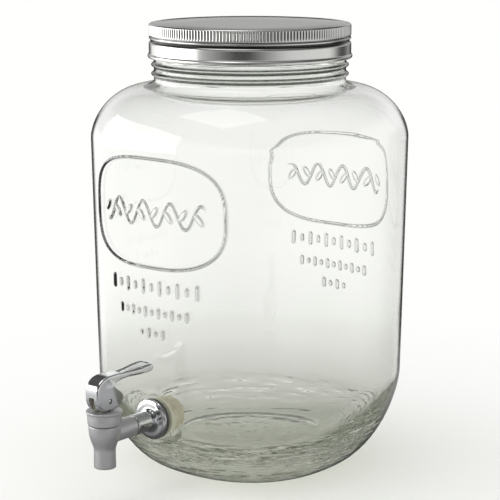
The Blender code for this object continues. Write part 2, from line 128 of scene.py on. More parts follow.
def finished(obj, body, slot, material, *nodes):
    """Gives a piece its material and its body, and hides the CAD nodes it stands for. The slot is not used.
    """
    obj.data.materials.clear()
    obj.data.materials.append(material)
    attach(obj, body)
    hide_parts(*nodes)


def store(obj, name, values):
    """Stores a number at each point of the mesh, for a material to read."""
    made = obj.data.attributes.new(name, "FLOAT", "POINT")
    made.data.foreach_set("value", values.astype(np.float32))


def lengths(line):
    """Distance of each point along a line from its start."""
    return np.concatenate([[0], np.cumsum(np.linalg.norm(np.diff(line, axis=0), axis=1))])


def points_at(stops, line):
    """Points at given distances along a line of two columns."""
    return np.stack([np.interp(stops, lengths(line), line[:, k]) for k in (0, 1)], -1)


def smoothstep(low, high, x):
    t = np.clip((np.asarray(x, float) - low) / (high - low), 0, 1)
    return t * t * (3 - 2 * t)


def rounded(profile, radius, steps=4, closed=False):
    """A profile of (r, z) points with its corners rounded, each by at most half its shorter side."""
    made = []
    count = len(profile)
    for i, corner in enumerate(profile):
        if not closed and i in (0, count - 1):
            made.append(corner)
            continue
        before, here, after = (Vector(profile[k % count]) for k in (i - 1, i, i + 1))
        reach = min(radius, (before - here).length / 2.05, (after - here).length / 2.05)
        start = here + (before - here).normalized() * reach
        end = here + (after - here).normalized() * reach
        for k in range(steps + 1):
            t = k / steps
            made.append(tuple(start * (1 - t) ** 2 + here * 2 * t * (1 - t) + end * t * t))
    return made


def ring_faces(rows, count, closed=False, caps=True):
    """Quads between rows of count points, with flat ends unless the rows close on themselves."""
    faces = []
    for r in range(rows if closed else rows - 1):
        low, high = r * count, (r + 1) % rows * count
        for i in range(count):
            j = (i + 1) % count
            faces.append((low + i, low + j, high + j, high + i))
    if caps and not closed:
        faces.append(tuple(range(count)))
        faces.append(tuple((rows - 1) * count + i for i in range(count)))
    return faces


def lathe(name, profile, segments, axis_at, closed=True, smooth_angle=40, flute=None, caps=True):
    """A turned piece from (radius, height) points in metres. flute(turn, radius, z) shifts the radius."""
    points = np.array(profile)
    turn = np.arange(segments) * math.tau / segments
    radius = np.repeat(points[:, 0][:, None], segments, 1)
    height = np.repeat(points[:, 1][:, None], segments, 1)
    if flute:
        radius = radius + flute(turn[None, :], radius, height)
    x = radius * np.cos(turn) + axis_at.x
    y = radius * np.sin(turn) + axis_at.y
    verts = np.stack([x, y, height + axis_at.z], -1).reshape(-1, 3)
    return new_object(name, verts, ring_faces(len(points), segments, closed, caps), smooth_angle)


def along_tap(point):
    """Lays a piece turned round Z along the tap: its height becomes reach from the jar's axis."""
    return Vector((point.x, JAR_AXIS.y - point.z, TAP_Z + point.y))


# Materials


def fill(tree, node, inputs):
    """Gives a node's inputs, by name or number, another node's output or a plain value."""
    for name, value in inputs.items():
        if isinstance(value, bpy.types.NodeSocket):
            tree.links.new(value, node.inputs[name])
        else:
            node.inputs[name].default_value = value


def new_node(tree, kind, inputs):
    made = tree.nodes.new("ShaderNode" + kind)
    fill(tree, made, inputs)
    return made


def node_material(name, inputs):
    """A material whose main shader has some inputs set, and the places its patterns are laid out by."""
    made = bpy.data.materials.new(name)
    made.use_nodes = True
    tree = made.node_tree
    shader = tree.nodes["Principled BSDF"]
    fill(tree, shader, inputs)
    return made, tree, shader, new_node(tree, "TexCoord", {}).outputs["Object"]


def noise(tree, coords, scale, detail=3.0, roughness=0.5, stretch=None):
    if stretch:
        coords = new_node(tree, "Mapping", {"Scale": stretch, "Vector": coords}).outputs["Vector"]
    inputs = {"Scale": scale, "Detail": detail, "Roughness": roughness, "Vector": coords}
    return new_node(tree, "TexNoise", inputs).outputs["Fac"]


def to_range(tree, value, low, high, from_low=0.35, from_high=0.65):
    inputs = {"Value": value, "From Min": from_low, "From Max": from_high, "To Min": low, "To Max": high}
    return new_node(tree, "MapRange", inputs).outputs["Result"]


def math_node(tree, operation, *values):
    made = new_node(tree, "Math", dict(enumerate(values)))
    made.operation = operation
    return made.outputs[0]


def stored(tree, name):
    """A number stored at the mesh's points."""
    made = tree.nodes.new("ShaderNodeAttribute")
    made.attribute_name = name
    return made.outputs["Fac"]


def mixed(tree, share, low, high, blend="MIX"):
    """A mix of two colours, each an output or a plain colour."""
    made = tree.nodes.new("ShaderNodeMix")
    made.data_type = "RGBA"
    made.blend_type = blend
    fill(tree, made, {"Factor": share, "A": low, "B": high})
    return made.outputs["Result"]


def mixed_shaders(tree, share, first, second):
    return new_node(tree, "MixShader", {0: share, 1: first, 2: second}).outputs[0]


def ramp_of(tree, value, stops):
    """A colour ramp through (place, colour) stops."""
    ramp = new_node(tree, "ValToRGB", {"Fac": value})
    made = ramp.color_ramp.elements
    while len(made) < len(stops):
        made.new(0.5)
    for stop, (place, colour) in zip(made, stops):
        stop.position = place
        stop.color = (*colour, 1)
    return ramp.outputs["Color"]


def tones(tree, value, colours, low=0.3, high=0.7):
    """Evenly spaced colours over a range of the value."""
    steps = len(colours) - 1
    stops = [(low + (high - low) * i / steps, colour) for i, colour in enumerate(colours)]
    return ramp_of(tree, value, stops)


def bump(tree, shader, height, strength, distance, under=None):
    """Bump on a shader, over another bump if one is given."""
    made = new_node(tree, "Bump", {"Height": height, "Strength": strength, "Distance": distance})
    if under:
        fill(tree, made, {"Normal": under})
    fill(tree, shader, {"Normal": made.outputs["Normal"]})
    return made.outputs["Normal"]


def dress(tree, shader, colour, roughness, height, strength, distance):
    """Gives a shader its colour, its roughness and its bump."""
    fill(tree, shader, {"Base Color": colour, "Roughness": roughness})
    bump(tree, shader, height, strength, distance)


PAINTED_EDGE_SHADE = (0.765, 0.83)  # grazing shares between which painted shade darkens the outer skin's outline
PAINTED_LOW_SHADE_Z = (22 * MM, 138 * MM)  # heights over which the painted shade of the lower body deepens, then fades out


def glass_material():
    """Pressed soda glass: faint green, with drag marks, painted shade at its outline and raised lines, and
    painted shade over its lower body.
    """
    made, tree, shader, coords = node_material("pressed_glass", {"Transmission Weight": 1.0, "IOR": 1.52})
    drag = noise(tree, coords, 22, 2.0, 0.5, (1, 1, 0.45))
    tint = tones(tree, drag, [(0.975, 0.982, 0.968), (0.992, 0.995, 0.988)])
    facing = new_node(tree, "LayerWeight", {"Blend": 0.5}).outputs["Facing"]
    grazing = to_range(tree, facing, 0.0, 1.0, *PAINTED_EDGE_SHADE)
    inward_side = new_node(tree, "NewGeometry", {}).outputs["Backfacing"]
    from_outside = math_node(tree, "SUBTRACT", stored(tree, "outside"), inward_side)
    grazing = math_node(tree, "MULTIPLY", grazing, from_outside)
    painted_dark_share = math_node(tree, "MAXIMUM", grazing, stored(tree, "painted_relief_shade"))
    height = new_node(tree, "SeparateXYZ", {"Vector": coords}).outputs["Z"]
    # Painted shade: the lower body is darker, most at the middle of those heights, and clear above them
    painted_low_shade_tones = [(0.94, 0.945, 0.92), (0.905, 0.91, 0.892), (1, 1, 1)]
    foot = tones(tree, height, painted_low_shade_tones, *PAINTED_LOW_SHADE_Z)
    whole = mixed(tree, 1.0, tint, foot, "MULTIPLY")
    # Painted shade: the outline and the raised lines are mixed towards near black
    colour = mixed(tree, painted_dark_share, whole, (0.02, 0.026, 0.018, 1))
    fill(tree, shader, {"Base Color": colour, "Roughness": to_range(tree, drag, 0.0, 0.012)})
    # Short pressed dashes round the outside of the heel
    streaks = noise(tree, coords, 62, 1.0, 0.4, (1, 1, 5.0))
    dashes = math_node(tree, "MULTIPLY", streaks, stored(tree, "pressed"))
    pressed = bump(tree, shader, dashes, 1.0, 2.8 * MM)
    bump(tree, shader, drag, 0.35, 0.4 * MM, pressed)
    volume = new_node(tree, "VolumeAbsorption", {"Color": (0.46, 0.52, 0.26, 1), "Density": 3.4})
    # Shadows and scattered light pass straight through clear glass instead of stopping at it
    ray = new_node(tree, "LightPath", {}).outputs
    soft = math_node(tree, "MAXIMUM", ray["Is Shadow Ray"], ray["Is Diffuse Ray"])
    clear = new_node(tree, "BsdfTransparent", {"Color": (0.92, 0.928, 0.905, 1)})
    surface = mixed_shaders(tree, soft, shader.outputs[0], clear.outputs[0])
    fill(tree, tree.nodes["Material Output"], {"Surface": surface, "Volume": volume.outputs["Volume"]})
    return made


def satin_steel_material():
    """Tinplate with a fine drawn grain, faint handling marks, and painted shade in the bottoms of the lid's
    serrations and groove.
    """
    made, tree, shader, coords = node_material("satin_tinplate", {"Metallic": 1.0})
    grain = noise(tree, coords, 900, 4.0, 0.6, (0.12, 1, 1))
    marks = noise(tree, coords, 26, 4.0, 0.6)
    tint = tones(tree, marks, [(0.60, 0.60, 0.58), (0.68, 0.68, 0.66)])
    # Painted shade: near black where the serrations' and the groove's bottoms are marked
    colour = mixed(tree, stored(tree, "painted_groove_shade"), tint, (0.035, 0.035, 0.033, 1))
    dress(tree, shader, colour, to_range(tree, marks, 0.15, 0.22), grain, 0.05, 0.05 * MM)
    return made


def chrome_material():
    """Bright plating over a casting: a slight orange peel and a few dull spots."""
    made, tree, shader, coords = node_material("bright_chrome", {"Metallic": 1.0})
    peel = noise(tree, coords, 240, 2.0, 0.45)
    dull = noise(tree, coords, 70, 4.0, 0.6)
    colour = tones(tree, dull, [(0.62, 0.625, 0.635), (0.72, 0.725, 0.735)])
    dress(tree, shader, colour, to_range(tree, dull, 0.03, 0.09), peel, 0.10, 0.06 * MM)
    return made


def silver_plastic_material():
    """Silver lacquer on moulded plastic: fine metal flake under a satin coat."""
    lacquer = {"Metallic": 0.75, "Coat Weight": 0.15, "Coat Roughness": 0.3}
    made, tree, shader, coords = node_material("silver_lacquer", lacquer)
    flake = noise(tree, coords, 1800, 2.0, 0.7)
    cloud = noise(tree, coords, 60, 3.0, 0.5)
    colour = tones(tree, flake, [(0.46, 0.462, 0.47), (0.56, 0.562, 0.57)])
    dress(tree, shader, colour, to_range(tree, cloud, 0.33, 0.43), flake, 0.15, 0.03 * MM)
    return made


def rubber_material(name, dark, light, roughness, speck_scale=500):
    """Matt soft material with a fine mottled skin."""
    made, tree, shader, coords = node_material(name, {})
    speck = noise(tree, coords, speck_scale, 5.0, 0.65)
    cloud = noise(tree, coords, 45, 3.0, 0.5)
    matt = to_range(tree, speck, roughness - 0.08, roughness + 0.08)
    dress(tree, shader, tones(tree, cloud, [dark, light]), matt, speck, 0.25, 0.08 * MM)
    return made


def cream_plastic_material():
    """Moulded cream plastic, a little light coming through, with faint flow marks."""
    glow = {"Subsurface Weight": 0.25, "Subsurface Radius": (0.004, 0.003, 0.002)}
    made, tree, shader, coords = node_material("cream_moulding", glow)
    flow = noise(tree, coords, 90, 4.0, 0.6, (1, 0.3, 1))
    colour = tones(tree, flow, [(0.62, 0.57, 0.43), (0.72, 0.67, 0.53)])
    dress(tree, shader, colour, to_range(tree, flow, 0.38, 0.5), flow, 0.2, 0.1 * MM)
    return made


def steel_pin_material():
    """Plain turned steel: rings of tool marks."""
    made, tree, shader, coords = node_material("turned_steel", {"Metallic": 1.0})
    rings = noise(tree, coords, 1500, 3.0, 0.6, (1, 0.1, 0.1))
    colour = tones(tree, rings, [(0.50, 0.50, 0.50), (0.68, 0.68, 0.68)])
    dress(tree, shader, colour, to_range(tree, rings, 0.2, 0.36), rings, 0.3, 0.03 * MM)
    return made


GLASS = glass_material()
STEEL = satin_steel_material()
CHROME = chrome_material()
SILVER = silver_plastic_material()
CREAM = cream_plastic_material()
SILICONE = rubber_material("washer_silicone", (0.70, 0.66, 0.54), (0.80, 0.77, 0.66), 0.55)
RUBBER = rubber_material("dark_rubber", (0.045, 0.045, 0.042), (0.09, 0.09, 0.085), 0.5)
LINER = rubber_material("foam_liner", (0.82, 0.82, 0.79), (0.90, 0.90, 0.87), 0.7, 900)
PIN_STEEL = steel_pin_material()


# Jar: one skin from the middle of the base, up the outside, over the rim and down the inside

HALF_SIDE = (jar_high.x - jar_low.x) / 2
LOW_HALF_SIDE = HALF_SIDE - 3.4 * MM
BASE_HALF_SIDE = 63.8 * MM
HEEL_TOP_Z = 69 * MM
HEEL_POWER = 1.6
SHOULDER_Z = 243 * MM
SHOULDER_TOP_Z = 278 * MM
SHOULDER_TOP_RADIUS = 77.5 * MM
BODY_POWER = 2.3
WALL = 4.2 * MM
FLOOR_Z = 12 * MM
FLOOR_HALF_SIDE = 56 * MM
NECK_RADIUS = 69.2 * MM
BEAD_WIDTH = 4.8 * MM
BEAD_HEIGHT = 2.0 * MM
# Strength of the painted shade on the beads' flanks
PAINTED_BEAD_SHADE = 2.4
BEAD_Z = (287 * MM, 293.5 * MM)
SWELL_OUTSIDE, SWELL_INSIDE = 0.06 * MM, 0.22 * MM
RIPPLE_HEIGHT = 0.38 * MM
RIPPLE_PITCH = 5.4 * MM
THREAD_HEIGHT = 1.1 * MM
THREAD_PITCH = 6.35 * MM
THREAD_Z = (302 * MM, 316 * MM)
MOUTH_RADIUS = 63.5 * MM
PAD_REACH = 106.3 * MM
PAD_INNER_REACH = 102 * MM
PAD_RADIUS = 18.5 * MM
POCKET_RADIUS = 15.5 * MM
HOLE_RADIUS = 7.6 * MM
JAR_COLUMNS = 216
FINE = 4  # each marked cell of the skin is split into FINE x FINE
FACE_HALF_WIDTH = 66 * MM
FACE_Z = (100 * MM, 243 * MM)  # heights between which the raised decoration lies

# Raised decoration on the front and back, in millimetres across and up
LABEL_MIDDLE_Z = 199
LABEL_HALF = (58, 38)
LABEL_POWER = 3.0
LINE_WIDTH = 2.7
LINE_HEIGHT = 1.4
# Strength of the painted shade on the raised lines' flanks
PAINTED_LINE_SHADE = 0.95
VINE_PITCH = 24.0
VINE_BEND = 8.5
VINE_REACH = 44.0
VINE_WIDTH = 2.6
LEAF_HALF = (5.8, 2.4)
LEAF_HEIGHT = 0.9
LEAF_LEAN = math.radians(55)
# Rows of plain beads and bars: middle height, count, pitch, and about half the longer ones' height
BAR_ROWS = ((147, 11, 7.6, 5.2), (129, 11, 6.0, 3.6), (114, 4, 6.4, 3.6))
BAR_WIDTH = 4.2
SHORTER = 0.55


def quarter(start, end, power, steps, across_first=True):
    """A superellipse quarter between two (half side, height) corners."""
    turn = np.linspace(0, math.pi / 2, steps + 1)
    rise, run = np.sin(turn) ** (2 / power), np.cos(turn) ** (2 / power)
    across, up = (1 - run, rise) if across_first else (rise, 1 - run)
    return np.stack([start[0] + (end[0] - start[0]) * across, start[1] + (end[1] - start[1]) * up], -1)


def body_line(inset, heel_from, neck_radius):
    """The wall's line from the heel up to the neck, inset from the outer skin."""
    low, high = LOW_HALF_SIDE - inset, HALF_SIDE - inset
    top = (SHOULDER_TOP_RADIUS - inset * 0.6, SHOULDER_TOP_Z - inset)
    return np.vstack([
        quarter(heel_from, (low, HEEL_TOP_Z), HEEL_POWER, 60, across_first=False),
        quarter((high, SHOULDER_Z - inset * 0.4), top, 2.0, 30),
        quarter(top, (neck_radius, SHOULDER_TOP_Z + 5 * MM), 2.0, 12, across_first=False)[1:],
    ])


def resampled(line, spacing):
    """Points along a line of (half side, height); spacing(height) says how far apart."""
    along = lengths(line)
    stops, at = [0.0], 0.0
    while at < along[-1]:
        at += spacing(np.interp(at, along, line[:, 1]))
        stops.append(min(at, along[-1]))
    if stops[-1] - stops[-2] < 1e-5:
        stops.pop(-2)
    return points_at(stops, line)


def outer_spacing(z):
    if z < 42 * MM:
        return 1.1 * MM
    if z < SHOULDER_Z:
        return 2.9 * MM
    return 2.0 * MM if z < 281 * MM else 0.62 * MM


def inner_spacing(z):
    return 2.2 * MM if z < HEEL_TOP_Z or z > SHOULDER_Z else 5 * MM


def jar_lines():
    """Rows of the whole skin, and how many of them are outside."""
    foot = np.array([(8, 4), (30, 3.8), (45, 2.6), (51, 0.6), (54, 0), (62.3, 0)]) * MM
    heel = (BASE_HALF_SIDE, 0.6 * MM)
    rim = np.array([(NECK_RADIUS, RIM_Z - 1.6 * MM), (NECK_RADIUS - 0.5 * MM, RIM_Z - 0.5 * MM)])
    crown = np.array([(NECK_RADIUS - 1.8 * MM, RIM_Z), (MOUTH_RADIUS + 1.4 * MM, RIM_Z - 0.1 * MM)])
    outer = np.vstack([body_line(0, heel, NECK_RADIUS), rim])
    outside = np.vstack([foot, resampled(outer, outer_spacing), crown])
    mouth = (MOUTH_RADIUS, RIM_Z - 1.4 * MM)
    inner = np.vstack([body_line(WALL, (FLOOR_HALF_SIDE, FLOOR_Z + 1 * MM), MOUTH_RADIUS), mouth])
    floor = np.array([(8, 0.6), (30, 0.45), (46, 0.1), (51, 0.0), (54.5, 0.35)]) * MM + (0, FLOOR_Z)
    inside = np.vstack([resampled(inner, inner_spacing)[::-1], floor[::-1]])
    return outside, inside


def plan_radius(half_side, z, turn):
    """Polar radius of the plan: a soft square up to the shoulder, and a circle at its top."""
    share = np.clip((z - SHOULDER_Z) / (SHOULDER_TOP_Z - SHOULDER_Z), 0, 1)
    power = BODY_POWER + (2 - BODY_POWER) * share
    return half_side / (np.abs(np.cos(turn)) ** power + np.abs(np.sin(turn)) ** power) ** (1 / power)


def ridge(distance, width):
    """A rounded ridge's height, 1 at its middle and 0 at half its width."""
    return np.cos(np.clip(np.abs(distance) / width, 0, 0.5) * math.pi) ** 2


def label_relief(across, up):
    """Height of the raised decoration in millimetres, for points across a face and up from the base."""
    u, v = np.abs(across), up - LABEL_MIDDLE_Z
    a, b = u / LABEL_HALF[0], np.abs(v) / LABEL_HALF[1]
    size = np.maximum((a ** LABEL_POWER + b ** LABEL_POWER) ** (1 / LABEL_POWER), 1e-6)
    slope = np.hypot(a ** (LABEL_POWER - 1) / LABEL_HALF[0], b ** (LABEL_POWER - 1) / LABEL_HALF[1])
    off_frame = (size - 1) / np.maximum(slope / size ** (LABEL_POWER - 1), 1e-6)
    height = ridge(off_frame, LINE_WIDTH)
    # A running vine: a wave with a leaf in each bend
    phase = math.tau * across / VINE_PITCH
    bend = VINE_BEND * np.sin(phase)
    steep = np.sqrt(1 + (VINE_BEND * math.tau / VINE_PITCH * np.cos(phase)) ** 2)
    vine = ridge((v - bend) / steep, VINE_WIDTH) * smoothstep(VINE_REACH + 2, VINE_REACH - 2, u)
    height = np.maximum(height, vine)
    for k in range(-4, 4):
        middle = (k + 0.5) * VINE_PITCH / 2
        side = -1 if k % 2 == 0 else 1
        du, dv = across - middle - 1.5, v - side * 1.2
        lean = LEAF_LEAN * -side
        s = du * math.cos(lean) + dv * math.sin(lean)
        t = -du * math.sin(lean) + dv * math.cos(lean)
        inside = 1 - np.sqrt((s / LEAF_HALF[0]) ** 2 + (t / LEAF_HALF[1]) ** 2)
        height = np.maximum(height, LEAF_HEIGHT * smoothstep(0, 0.5, inside))
    for middle, count, pitch, long in BAR_ROWS:
        for i in range(count):
            at = (i - (count - 1) / 2) * pitch
            tall = long if i % 2 == 0 else SHORTER * long
            du, dv = across - at, np.abs(up - middle)
            off = np.hypot(du, np.maximum(dv - (tall - 1.4), 0))
            height = np.maximum(height, ridge(off, BAR_WIDTH))
    return height


def jar_skin(columns, rows, marked):
    """Faces of the skin over a lattice FINE times finer than its cells, and the lattice points used."""
    index = {}
    span = columns * FINE

    def point(i, j):
        return index.setdefault((i % span, j), len(index))

    faces = []
    for c in range(columns):
        for r in range(rows - 1):
            i, j = c * FINE, r * FINE
            if marked[c, r]:
                for a in range(i, i + FINE):
                    for b in range(j, j + FINE):
                        faces.append((point(a, b), point(a + 1, b), point(a + 1, b + 1), point(a, b + 1)))
                continue
            step = [
                1 if r > 0 and marked[c, r - 1] else FINE,
                1 if marked[(c + 1) % columns, r] else FINE,
                1 if r < rows - 2 and marked[c, r + 1] else FINE,
                1 if marked[c - 1, r] else FINE,
            ]
            ring = [point(i + k, j) for k in range(0, FINE, step[0])]
            ring += [point(i + FINE, j + k) for k in range(0, FINE, step[1])]
            ring += [point(i + FINE - k, j + FINE) for k in range(0, FINE, step[2])]
            ring += [point(i, j + FINE - k) for k in range(0, FINE, step[3])]
            faces.append(tuple(ring))
    for end in (0, (rows - 1) * FINE):
        faces.append(tuple(point(c * FINE, end) for c in range(columns)))
    return faces, np.array(list(index))


def waviness(x, y, z):
    """Slow swells left by pressing, about -1 to 1, from a few crossed waves."""
    seed = 2.0
    total = 0
    for k in range(4):
        a, b, c = (math.sin(seed + 2.4 * k + q) for q in (0.3, 1.9, 4.1))
        total = total + np.sin((x * a + y * b + z * c) / (9 * MM * (1 + 0.5 * k)) + seed * k)
    return total / 4


def heel_ripple(length, turn, z):
    """Rows of short pressed dashes round the heel: their height, -1 to 1."""
    broken = 0.55 + 0.45 * np.sin(5 * turn + 1.3 * np.sin(2 * turn)) * np.cos(3 * turn + z * 150)
    wave = np.sin(length / RIPPLE_PITCH * math.tau)
    return wave * broken * smoothstep(3 * MM, 9 * MM, z) * smoothstep(42 * MM, 33 * MM, z)


def on_face(x, z, half_width):
    """Where the raised decoration can lie, on the front and back."""
    return (np.abs(x) < half_width) & (z > FACE_Z[0]) & (z < FACE_Z[1])


def jar_points(turn, row, outside, inside):
    """World points for lattice places, with ripples, waviness, relief, beads, thread, pad and pocket."""
    lines = np.vstack([outside, inside])
    half_side, z, length = (
        np.interp(row, np.arange(len(lines)), column) for column in (*lines.T, lengths(lines))
    )
    is_outer = row <= len(outside) - 1
    radius = plan_radius(half_side, z, turn)
    x, y = radius * np.cos(turn), radius * np.sin(turn)

    shift = np.where(is_outer, RIPPLE_HEIGHT * heel_ripple(length, turn, z), 0)
    wavy = smoothstep(4 * MM, 20 * MM, z) * smoothstep(SHOULDER_TOP_Z, SHOULDER_Z, z)
    shift = shift + np.where(is_outer, SWELL_OUTSIDE, SWELL_INSIDE) * waviness(x, y, z) * wavy
    face = on_face(x, z, FACE_HALF_WIDTH)
    shift = shift + np.where(is_outer & face, LINE_HEIGHT * MM * label_relief(x / MM * np.sign(y), z / MM), 0)
    neck = is_outer & (z > SHOULDER_TOP_Z)
    for bead in BEAD_Z:
        shift = shift + np.where(neck, BEAD_HEIGHT * ridge(z - bead, BEAD_WIDTH), 0)
    climb = (z - THREAD_Z[0]) / THREAD_PITCH - turn / math.tau
    crest = THREAD_HEIGHT * ridge(climb - np.round(climb), 0.5)
    turns_up = np.round(climb) + turn / math.tau
    ends = smoothstep(0.1, 0.4, turns_up) * smoothstep(2.2, 1.9, turns_up)
    shift = shift + np.where(neck & (z > 299 * MM), crest * ends, 0)
    x, y = x + shift * np.cos(turn), y + shift * np.sin(turn)

    off = np.hypot(x, z - TAP_Z)
    front = y < 0
    pad = np.where(is_outer & front, smoothstep(PAD_RADIUS + 3 * MM, PAD_RADIUS - 1.2 * MM, off), 0)
    pressed_in = smoothstep(POCKET_RADIUS + 1.8 * MM, POCKET_RADIUS - 0.2 * MM, off)
    pocket = np.where(~is_outer & front, pressed_in, 0)
    y = y + pad * (-PAD_REACH - y)
    y = y + pocket * (-PAD_INNER_REACH - y)
    return np.stack([x, y + JAR_AXIS.y, z], -1)


def cells_to_refine(columns, lines, outer_rows):
    """Marks the skin's cells that hold raised lines or the edge of the tap's pad or pocket."""
    turn = (np.arange(columns) + 0.5) * math.tau / columns
    half_side = (lines[:-1, 0] + lines[1:, 0]) / 2
    z = (lines[:-1, 1] + lines[1:, 1]) / 2
    turn, z = np.meshgrid(turn, z, indexing="ij")
    radius = plan_radius(np.broadcast_to(half_side, z.shape), z, turn)
    x, y = radius * np.cos(turn), radius * np.sin(turn)
    outer = np.arange(len(lines) - 1) < outer_rows - 1
    face = outer[None, :] & on_face(x, z, FACE_HALF_WIDTH - 2 * MM)
    near = np.zeros_like(x)
    for du in (-2.4, -1.2, 0, 1.2, 2.4):
        for dv in (-2.4, -1.2, 0, 1.2, 2.4):
            near = np.maximum(near, label_relief(x / MM * np.sign(y) + du, z / MM + dv))
    off = np.hypot(x, z - TAP_Z)
    pad_edge = np.abs(off - PAD_RADIUS - 1 * MM) < 5 * MM
    pocket_edge = np.abs(off - POCKET_RADIUS - 1 * MM) < 4 * MM
    ring = np.where(outer[None, :], pad_edge, pocket_edge)
    return (face & (near > 0.02)) | (ring & (y < 0))


def mark_skin(jar, points, is_outer):
    """Stores how much of the painted dark outline each point takes, how much painted shade the steepness of
    its raised lines and beads gives it, and where the heel is.
    """
    x, y, z = points[:, 0], points[:, 1] - JAR_AXIS.y, points[:, 2]
    across, up = x / MM * np.sign(y), z / MM
    rise = label_relief(across, up + 0.5) - label_relief(across, up - 0.5)
    run = label_relief(across + 0.5, up) - label_relief(across - 0.5, up)
    face = is_outer & on_face(x, z, FACE_HALF_WIDTH)
    # Painted shade on the flanks of the raised lines and beads, as strong as they are steep
    steep = np.where(face, PAINTED_LINE_SHADE * np.hypot(rise, run), 0)
    for bead in BEAD_Z:
        above, below = (ridge(z + step - bead, BEAD_WIDTH) for step in (0.5 * MM, -0.5 * MM))
        steep += np.where(is_outer & (z > SHOULDER_TOP_Z), PAINTED_BEAD_SHADE * np.abs(above - below), 0)
    pressed = is_outer * smoothstep(2 * MM, 5 * MM, z) * smoothstep(40 * MM, 30 * MM, z)
    # The shoulder's flat top is seen at a grazing angle all over, so it takes less of the painted dark
    # outline
    level = smoothstep(256 * MM, 268 * MM, z) * smoothstep(286 * MM, 283 * MM, z)
    outside = is_outer * (1 - 0.7 * level)
    store(jar, "painted_relief_shade", np.clip(steep, 0, 1))
    store(jar, "outside", outside)
    store(jar, "pressed", pressed)


def make_jar():
    outside, inside = jar_lines()
    lines = np.vstack([outside, inside])
    marked = cells_to_refine(JAR_COLUMNS, lines, len(outside))
    faces, lattice = jar_skin(JAR_COLUMNS, len(lines), marked)
    turn = lattice[:, 0] * math.tau / (JAR_COLUMNS * FINE)
    points = jar_points(turn, lattice[:, 1] / FINE, outside, inside)
    jar = new_object("jar", points, faces, 60)
    mark_skin(jar, points, lattice[:, 1] <= (len(outside) - 1) * FINE)
    drill_line = [(HOLE_RADIUS, 70 * MM), (HOLE_RADIUS, 130 * MM)]
    drill = lathe("drill", drill_line, 64, ORIGIN, closed=False)
    cut(jar, [placed(drill, along_tap)], 60)
    finished(jar, "jar", "clear_glass", GLASS, "jar_glass")


# Lid

LID_RECESS = 0.6  # in millimetres, as in the lid's profile
SERRATIONS = 190
SERRATION_DEPTH = 0.7 * MM


def make_lid():
    outside = [
        (4, -LID_RECESS), (40, -LID_RECESS), (67.4, -LID_RECESS), (68.4, -0.5), (69.0, -0.1), (69.6, 0.0),
        (70.9, 0.0), (71.7, -0.2), (72.3, -0.6), (72.65, -1.2), (72.7, -1.6), (72.7, -3), (72.7, -4.5),
        (72.7, -6), (72.7, -7.3), (72.7, -7.9), (72.5, -8.4), (72.2, -8.7), (72.1, -9.2), (72.3, -9.6),
        (72.6, -9.9), (72.6, -10.5), (72.2, -11.0), (71.6, -11.6), (71.35, -12.2), (71.6, -12.8),
        (72.3, -13.4), (72.7, -14.0), (72.7, -14.8), (72.7, -18), (72.7, -20.4), (72.7, -21.2),
        (72.85, -21.6), (73.3, -22.0), (73.6, -22.6), (73.6, -23.4), (73.35, -24.0), (72.9, -24.4),
        (72.4, -24.5), (72.0, -24.3), (71.8, -23.8),
    ]
    inside = [
        (71.8, -14.0), (71.5, -13.4), (71.0, -12.8), (70.85, -12.2), (71.0, -11.6), (71.4, -11.0),
        (71.7, -10.4), (71.8, -9.6), (71.8, -3.4), (71.4, -2.2), (70.6, -1.6), (69.0, -1.5), (40, -1.5),
        (4, -1.5),
    ]
    profile = [(r * MM, LID_TOP_Z + z * MM) for r, z in outside + inside]

    def serrate(turn, radius, z):
        down = (LID_TOP_Z - z) / MM
        band = smoothstep(0.9, 1.7, down) * smoothstep(8.4, 7.4, down) * (radius > 72.2 * MM)
        groove = np.abs(np.sin(turn * SERRATIONS / 2)) ** 0.8
        return -SERRATION_DEPTH * band * (1 - groove)

    lid = lathe("screw_lid", profile, SERRATIONS * 6, JAR_AXIS, False, 50, serrate)
    points = np.array([vertex.co for vertex in lid.data.vertices])
    radius = np.hypot(points[:, 0], points[:, 1] - JAR_AXIS.y)
    down = LID_TOP_Z - points[:, 2]
    # Painted shade darkens the bottoms of the serrations and of the groove
    band = smoothstep(0.8 * MM, 1.8 * MM, down) * (down < 20 * MM)
    store(lid, "painted_groove_shade", band * smoothstep(72.55 * MM, 71.95 * MM, radius))
    finished(lid, "lid", "satin_steel", STEEL, "lid_shell")

    liner_low, liner_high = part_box("lid_liner")
    edge = (liner_high.x - liner_low.x) / 2
    low, high = liner_low.z, liner_high.z
    rings = [(edge - 0.3 * MM, high), (edge, high - 0.3 * MM), (edge, low + 0.3 * MM), (edge - 0.4 * MM, low)]
    for k in range(9):
        at = edge - (1.6 + k * 1.1) * MM
        rings += [(at, low), (at - 0.25 * MM, low + 0.22 * MM), (at - 0.5 * MM, low)]
    rings += [(30 * MM, low), (4 * MM, low)]
    liner = lathe("sealing_liner", [(4 * MM, high)] + rings, 160, JAR_AXIS, False, 30)
    finished(liner, "lid_seal", "liner_foam", LINER, "lid_liner")


# Tap

TAP_SEGMENTS = 128
ARM_RADIUS = 7.2 * MM
SEAM_REACH = 38.7 * MM  # from the shank's inner end to the arm's seam, in CAD
SEAM_SHIFT = 5 * MM  # and how much further out the seam is here
NUT_LONGER = 4 * MM
OUTER_SEAL_WIDER = 1.9 * MM
WASHER_BORE = 7.2 * MM
FLOW_BORE = 4.0 * MM
SOCKET_RADIUS = 5.4 * MM
SHANK_THREAD_LENGTH = 17 * MM
SHANK_THREAD_PITCH = 1.6 * MM
SHANK_THREAD_DEPTH = 0.7 * MM


def reaches(node):
    """A node's near and far reach from the jar's axis, and its radius round the tap's axis."""
    low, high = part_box(node)
    return JAR_AXIS.y - high.y, JAR_AXIS.y - low.y, (high.x - low.x) / 2


